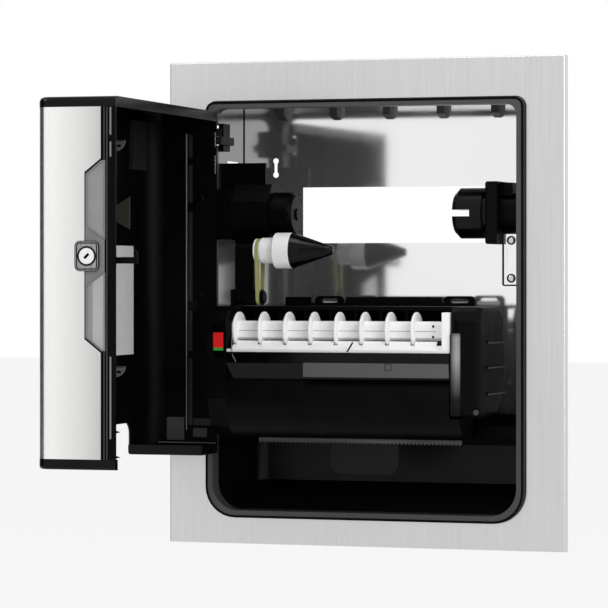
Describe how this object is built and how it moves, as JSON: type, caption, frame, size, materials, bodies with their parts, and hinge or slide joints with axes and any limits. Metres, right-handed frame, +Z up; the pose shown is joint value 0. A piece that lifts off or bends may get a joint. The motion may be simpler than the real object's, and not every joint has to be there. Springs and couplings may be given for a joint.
{
  "type": "recessed roll towel dispenser",
  "caption": "Wall-recessed paper roll towel dispenser: stainless trim frame, polished recess, lockable swing door, roll hubs and a geared disc-roller feed with tear bar.",
  "frame": {"origin": "centre of the rectangle of screw holes in the back panel, on the panel's rear face, level with the middle of the trim frame", "axes": "+X right along the trim frame as seen from the room, +Y into the wall, +Z up"},
  "size_m": [0.437, 0.438, 0.489],
  "materials": {
    "brushed_steel": "vertical brushed grain",
    "door_steel": "horizontal brushed grain",
    "recess_steel": "polished",
    "black_gloss": "glossy",
    "black_matte": "satin",
    "white_plastic": "satin",
    "smoked_window": "clear, smoked",
    "steel_part": "bright",
    "chrome_part": "polished",
    "gear_plastic": "moulded",
    "belt_rubber": "matt elastic",
    "signal_green": "matt",
    "signal_red": "matt",
    "label_paper": "matt"
  },
  "bodies": {
    "cabinet": {"trim_frame": "brushed_steel", "bezel_ring": "black_matte", "recess_back": "recess_steel", "recess_left": "recess_steel", "recess_right": "recess_steel", "recess_top": "recess_steel", "recess_floor": "recess_steel", "recess_clips": "black_matte", "chute_liner": "black_matte", "left_hub_carrier": "black_gloss", "left_hub_spring": "steel_part", "right_hub_carrier": "black_gloss", "stub_arm_bracket": "black_gloss", "shaft_bushes": "white_plastic", "left_end_housing": "black_gloss", "right_gear_housing": "black_gloss", "gear_cover": "black_gloss", "module_shell": "black_gloss", "module_brackets": "black_matte", "guide_comb": "black_matte", "roller_tray": "white_plastic", "roller_rail": "black_gloss", "lower_cover": "black_gloss", "tear_bar": "steel_part", "paper_tongue": "black_matte", "rear_rail": "black_matte", "latch_keeper": "chrome_part", "keeper_screws": "steel_part", "hinge_brackets": "black_gloss", "hinge_pins": "steel_part"},
    "hub_plunger": {"left_plunger": "steel_part"},
    "left_hub": {"left_hub": "black_gloss"},
    "right_hub": {"right_hub": "black_gloss"},
    "stub_arm": {"stub_arm": "black_gloss", "stub_drive_belt": "belt_rubber"},
    "stub_spindle": {"stub_spindle": "white_plastic", "stub_cone": "black_gloss"},
    "belt_pulley": {"stub_belt_pulley": "white_plastic"},
    "cutting_drum": {"cutting_drum": "black_matte", "knife_blade": "steel_part", "drum_shaft": "steel_part", "drum_gear": "gear_plastic"},
    "feed_roller": {"disc_roller": "white_plastic", "roller_axle": "steel_part", "roller_gear": "gear_plastic"},
    "roll_indicator": {"indicator_green": "signal_green", "indicator_red": "signal_red"},
    "door": {"door_skin": "door_steel", "door_liner": "black_gloss", "door_top_cap": "black_gloss", "door_bottom_caps": "black_gloss", "window_panes": "smoked_window", "lock_plate": "black_gloss", "lock_body": "black_matte", "latch_guides": "black_gloss", "info_label": "label_paper", "liner_clips": "white_plastic", "door_guide_bar": "black_matte"},
    "lock_plug": {"lock_plug": "chrome_part"},
    "latch": {"latch_bolt": "steel_part"}
  },
  "joints": [
    {"name": "door_hinge", "type": "hinge", "parent": "cabinet", "child": "door", "pos_m": [-0.154, -0.1242, 0.0205], "axis": [0, 0, 1], "range_deg": [0, 88]},
    {"name": "lock_turn", "type": "hinge", "parent": "door", "child": "lock_plug", "pos_m": [-0.16973, -0.43594, 0.0455], "axis": [0.0349, -0.9994, 0], "range_deg": [0, 90]},
    {"name": "latch_lift", "type": "slide", "parent": "door", "child": "latch", "axis": [0, 0, 1], "range_m": [0, 0.00597]},
    {"name": "left_hub_push", "type": "slide", "parent": "cabinet", "child": "hub_plunger", "axis": [-1, 0, 0], "range_m": [0, 0.02], "stiffness_N_per_m": 300, "springref_m": -0.005, "deforming": ["left_hub_spring"]},
    {"name": "left_hub_spin", "type": "hinge", "parent": "hub_plunger", "child": "left_hub", "pos_m": [-0.1, -0.0962, 0.0895], "axis": [1, 0, 0], "continuous": true},
    {"name": "right_hub_spin", "type": "hinge", "parent": "cabinet", "child": "right_hub", "pos_m": [0.11, -0.0962, 0.0895], "axis": [1, 0, 0], "continuous": true},
    {"name": "stub_arm_swing", "type": "hinge", "parent": "cabinet", "child": "stub_arm", "pos_m": [-0.1195, -0.1312, 0.0055], "axis": [1, 0, 0], "range_deg": [0, 55]},
    {"name": "stub_spin", "type": "hinge", "parent": "stub_arm", "child": "stub_spindle", "pos_m": [-0.09, -0.1312, 0.0525], "axis": [1, 0, 0], "continuous": true},
    {"name": "belt_pulley_spin", "type": "hinge", "parent": "stub_arm", "child": "belt_pulley", "pos_m": [-0.105, -0.1312, 0.0055], "axis": [1, 0, 0], "continuous": true},
    {"name": "drum_spin", "type": "hinge", "parent": "cabinet", "child": "cutting_drum", "pos_m": [0, -0.11043, -0.05835], "axis": [1, 0, 0], "continuous": true},
    {"name": "feed_roller_spin", "type": "hinge", "parent": "cabinet", "child": "feed_roller", "pos_m": [0, -0.1472, -0.0275], "axis": [1, 0, 0], "continuous": true},
    {"name": "indicator_slide", "type": "slide", "parent": "cabinet", "child": "roll_indicator", "axis": [0, 0, 1], "range_m": [-0.006, 0.006], "stiffness_N_per_m": 20}
  ],
  "couplings": [
    {"joint": "lock_turn", "follows": "latch_lift", "rad_per_m": 263.16},
    {"joint": "feed_roller_spin", "follows": "drum_spin", "ratio": -1.5},
    {"joint": "belt_pulley_spin", "follows": "stub_spin", "ratio": 1.6667}
  ]
}
